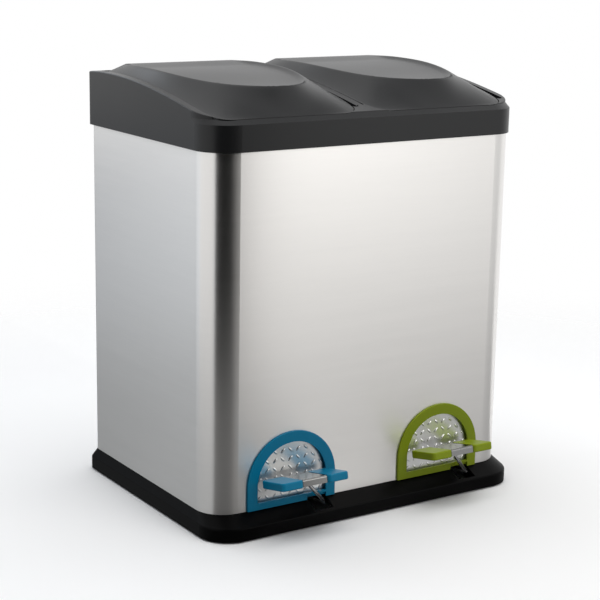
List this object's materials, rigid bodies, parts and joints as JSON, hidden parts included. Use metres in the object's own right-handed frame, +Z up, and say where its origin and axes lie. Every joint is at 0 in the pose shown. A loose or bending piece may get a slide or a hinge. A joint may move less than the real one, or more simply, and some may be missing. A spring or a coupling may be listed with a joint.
{
  "type": "double recycling bin",
  "caption": "Free-standing steel waste bin with side-by-side compartments, dished hinged lids in a dark plastic frame and foot pedals under coloured arches.",
  "frame": {"origin": "On the floor, under the middle of the whole object's bounding box, pedals included.", "axes": "+Z up, +X to the right as seen from the front, +Y toward the back; the pedals face -Y."},
  "size_m": [0.398, 0.3222, 0.4684],
  "materials": {
    "charcoal_plastic": "fine matte grain",
    "steel_wrap": "vertical brushed grain",
    "base_plastic": "satin black",
    "foot_rubber": "matte",
    "blue_plastic": "smooth satin",
    "green_plastic": "smooth satin",
    "checker_metal": "bright raised checker",
    "polished_steel": "polished",
    "steel_rod": "drawn wire",
    "bucket_plastic": "satin grey"
  },
  "bodies": {
    "bin_body": {"body_shell": "steel_wrap", "base_tray": "base_plastic", "rubber_feet": "foot_rubber", "base_screws": "steel_rod", "top_frame": "charcoal_plastic", "left_hinge_pin": "steel_rod", "left_pivot_pin": "steel_rod", "left_arch_trim": "blue_plastic", "left_checker_plate": "checker_metal", "left_bucket": "bucket_plastic", "left_bail": "steel_rod", "left_bail_grip": "base_plastic", "right_hinge_pin": "steel_rod", "right_pivot_pin": "steel_rod", "right_arch_trim": "green_plastic", "right_checker_plate": "checker_metal", "right_bucket": "bucket_plastic", "right_bail": "steel_rod", "right_bail_grip": "base_plastic"},
    "left_lid_body": {"left_lid": "charcoal_plastic", "left_crank_pin": "steel_rod"},
    "left_rod_body": {"left_push_rod": "base_plastic"},
    "left_pedal_body": {"left_pedal_lever": "steel_rod", "left_pedal_tread": "polished_steel", "left_pedal_left_pad": "blue_plastic", "left_pedal_right_pad": "blue_plastic"},
    "right_lid_body": {"right_lid": "charcoal_plastic", "right_crank_pin": "steel_rod"},
    "right_rod_body": {"right_push_rod": "base_plastic"},
    "right_pedal_body": {"right_pedal_lever": "steel_rod", "right_pedal_tread": "polished_steel", "right_pedal_left_pad": "green_plastic", "right_pedal_right_pad": "green_plastic"}
  },
  "joints": [
    {"name": "left_lid_hinge", "type": "hinge", "parent": "bin_body", "child": "left_lid_body", "pos_m": [-0.0964, 0.13339, 0.453], "axis": [-1, 0, 0], "range_deg": [0, 70]},
    {"name": "left_pedal_hinge", "type": "hinge", "parent": "bin_body", "child": "left_pedal_body", "pos_m": [-0.0557, -0.02361, 0.012], "axis": [1, 0, 0], "range_deg": [0, 7.45]},
    {"name": "left_rod_slide", "type": "slide", "parent": "bin_body", "child": "left_rod_body", "axis": [0, 0, 1], "range_m": [0, 0.01847]},
    {"name": "right_lid_hinge", "type": "hinge", "parent": "bin_body", "child": "right_lid_body", "pos_m": [0.0964, 0.13339, 0.453], "axis": [-1, 0, 0], "range_deg": [0, 70]},
    {"name": "right_pedal_hinge", "type": "hinge", "parent": "bin_body", "child": "right_pedal_body", "pos_m": [0.1371, -0.02361, 0.012], "axis": [1, 0, 0], "range_deg": [0, 7.45]},
    {"name": "right_rod_slide", "type": "slide", "parent": "bin_body", "child": "right_rod_body", "axis": [0, 0, 1], "range_m": [0, 0.01847]}
  ],
  "couplings": [
    {"joint": "left_pedal_hinge", "follows": "left_lid_hinge", "ratio": 0.10643},
    {"joint": "left_rod_slide", "follows": "left_lid_hinge", "m_per_rad": 0.015117},
    {"joint": "right_pedal_hinge", "follows": "right_lid_hinge", "ratio": 0.10643},
    {"joint": "right_rod_slide", "follows": "right_lid_hinge", "m_per_rad": 0.015117}
  ]
}
